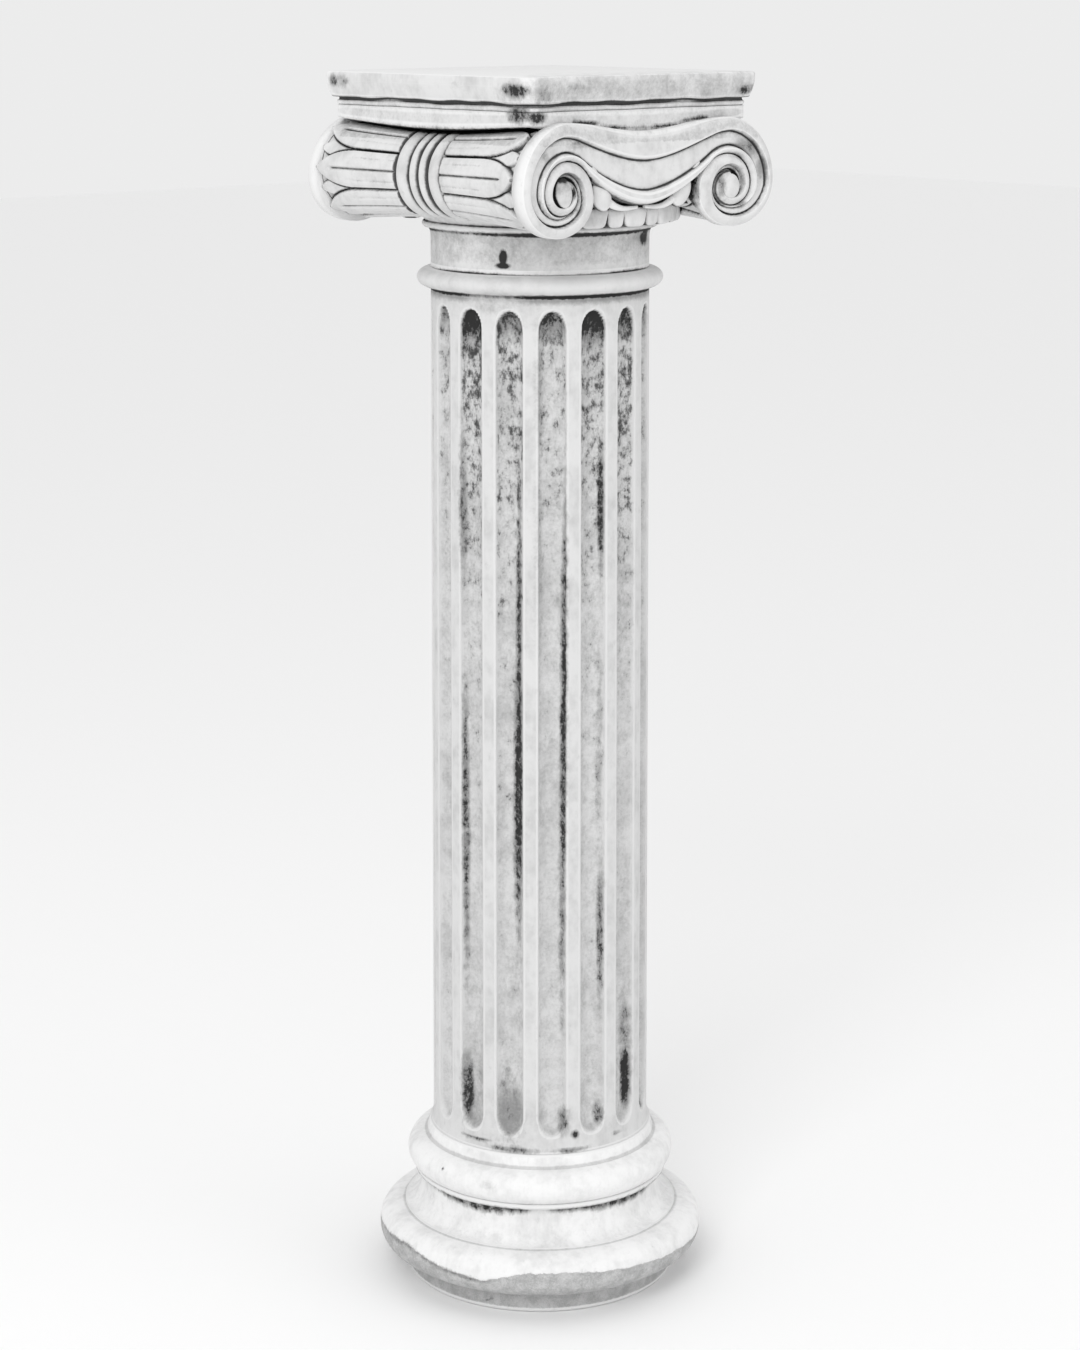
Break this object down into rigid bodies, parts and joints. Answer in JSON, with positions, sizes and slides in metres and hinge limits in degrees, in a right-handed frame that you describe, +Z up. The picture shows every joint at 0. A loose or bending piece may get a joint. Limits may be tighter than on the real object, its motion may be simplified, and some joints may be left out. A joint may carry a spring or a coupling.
{
  "type": "decorative column",
  "caption": "Garden column in cast stone: round moulded base, fluted shaft and Ionic capital with volutes, leafy bolsters and a square flat top.",
  "frame": {"origin": "centre of the underside, on the ground", "axes": "+Z up the shaft, volute faces look along -Y and +Y, bolsters on the -X and +X sides"},
  "size_m": [0.287, 0.287, 1.0506],
  "materials": {
    "base_stone": "whitewashed cast concrete, raw grey on the lower torus and the bottom disc",
    "shaft_stone": "whitewashed cast concrete with grey and black weathering in the flutes",
    "capital_stone": "whitewashed cast concrete with black creases in the carving"
  },
  "bodies": {
    "root": {"base": "base_stone", "shaft": "shaft_stone", "capital": "capital_stone"}
  },
  "joints": []
}
